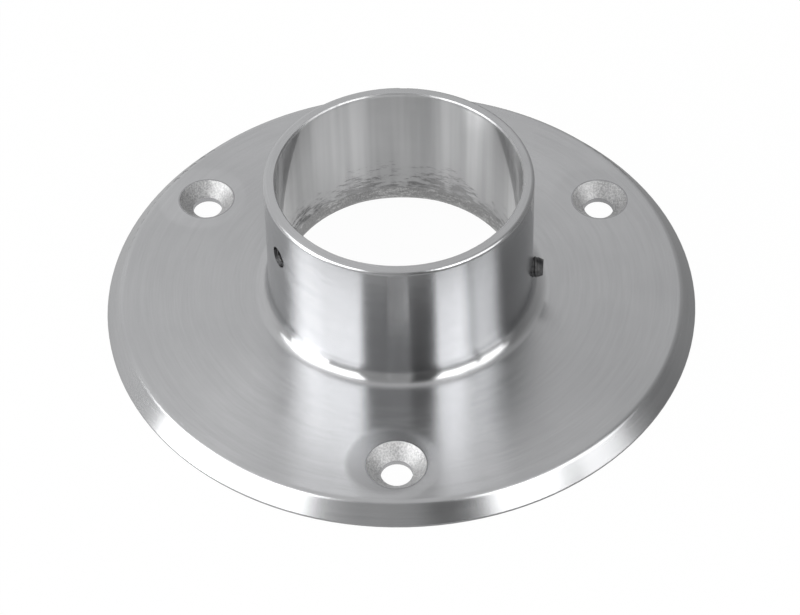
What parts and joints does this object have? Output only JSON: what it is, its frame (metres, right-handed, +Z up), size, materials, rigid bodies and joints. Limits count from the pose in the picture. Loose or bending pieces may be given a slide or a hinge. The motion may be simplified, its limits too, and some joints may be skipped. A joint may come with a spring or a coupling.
{
  "type": "tube clamp base flange",
  "caption": "Round floor flange with a tapered upright collar that a round tube drops into, countersunk holes for floor screws, and set screws through the collar that clamp the tube.",
  "frame": {"origin": "centre of the underside, on the axis of the bore and in the plane that rests on the floor", "axes": "+Z up along the bore, out of the floor; -Y towards the viewer of the main picture, through one of the floor screw holes; +X to the viewer's right"},
  "size_m": [0.127, 0.127, 0.035],
  "materials": {
    "satin_steel": "satin, lathe-brushed in circles around the axis, with rough countersinks and a rough as-cast band at the bottom of the bore",
    "dark_screw_steel": "blackened, lightly oiled"
  },
  "bodies": {
    "root": {"flange_casting": "satin_steel", "upper_set_screw": "dark_screw_steel", "lower_set_screw": "dark_screw_steel"}
  },
  "joints": []
}
